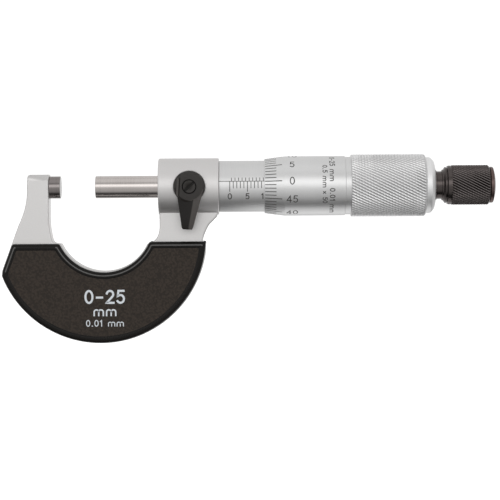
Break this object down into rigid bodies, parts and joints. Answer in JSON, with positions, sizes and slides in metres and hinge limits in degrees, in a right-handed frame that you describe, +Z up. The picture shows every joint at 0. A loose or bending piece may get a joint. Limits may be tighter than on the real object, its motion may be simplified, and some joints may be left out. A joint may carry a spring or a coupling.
{
  "type": "outside micrometer",
  "caption": "Outside micrometer for small lengths: C-frame with insulating pads, screw spindle, graduated sleeve and thimble, lock lever and ratchet stop.",
  "frame": {"origin": "centre of the anvil's measuring face", "axes": "+X along the spindle from the anvil towards the ratchet stop, +Z up away from the frame's bow, -Y the side with the scale's datum and the lock lever"},
  "size_m": [0.141, 0.0186, 0.0535],
  "materials": {
    "frame_satin": "satin chrome plated",
    "satin_chrome": "fine satin chrome",
    "ground_steel": "ground and polished",
    "carbide": "lapped",
    "inner_steel": "machined",
    "brass": "machined",
    "cover_plastic": "fine leather grain with a glossy border",
    "black_oxide": "black coated steel"
  },
  "bodies": {
    "frame": {"frame": "frame_satin", "anvil": "ground_steel", "anvil_tip": "carbide", "cover_front": "cover_plastic", "cover_rear": "cover_plastic", "spindle_nut": "inner_steel", "take_up_nut": "inner_steel"},
    "scale_sleeve": {"graduated_sleeve": "satin_chrome"},
    "lock": {"lock_lever": "black_oxide", "lock_screw": "black_oxide", "lock_stud": "inner_steel", "lock_washer": "inner_steel", "lock_shoe": "brass"},
    "spindle_carrier": {"spindle_tip": "carbide"},
    "spindle_and_thimble": {"spindle": "ground_steel", "thimble": "satin_chrome", "thimble_cap": "satin_chrome", "ratchet_shank": "black_oxide"},
    "knob": {"ratchet_knob": "black_oxide", "ratchet_screw": "inner_steel", "ratchet_washer": "inner_steel", "ratchet_end_cap": "black_oxide"},
    "clutch_disc": {"ratchet_disc": "inner_steel", "ratchet_spring": "inner_steel"}
  },
  "joints": [
    {"name": "sleeve_zero", "type": "hinge", "parent": "frame", "child": "scale_sleeve", "pos_m": [0.04535, 0, 0], "axis": [1, 0, 0], "range_deg": [-12, 12]},
    {"name": "lock_turn", "type": "hinge", "parent": "frame", "child": "lock", "pos_m": [0.037, 0, 0], "axis": [0, 1, 0], "range_deg": [-22, 15]},
    {"name": "spindle_travel", "type": "slide", "parent": "frame", "child": "spindle_carrier", "axis": [1, 0, 0], "range_m": [-0.01, 0.015]},
    {"name": "thimble_turn", "type": "hinge", "parent": "spindle_carrier", "child": "spindle_and_thimble", "pos_m": [0.01, 0, 0], "axis": [1, 0, 0], "range_deg": [-7200, 10800]},
    {"name": "ratchet_turn", "type": "hinge", "parent": "spindle_and_thimble", "child": "knob", "pos_m": [0.10895, 0, 0], "axis": [1, 0, 0], "continuous": true},
    {"name": "ratchet_click", "type": "slide", "parent": "knob", "child": "clutch_disc", "axis": [1, 0, 0], "range_m": [0, 0.0004], "stiffness_N_per_m": 1000, "springref_m": -0.001, "deforming": ["ratchet_spring"]}
  ],
  "couplings": [
    {"joint": "thimble_turn", "follows": "spindle_travel", "rad_per_m": 12566}
  ]
}
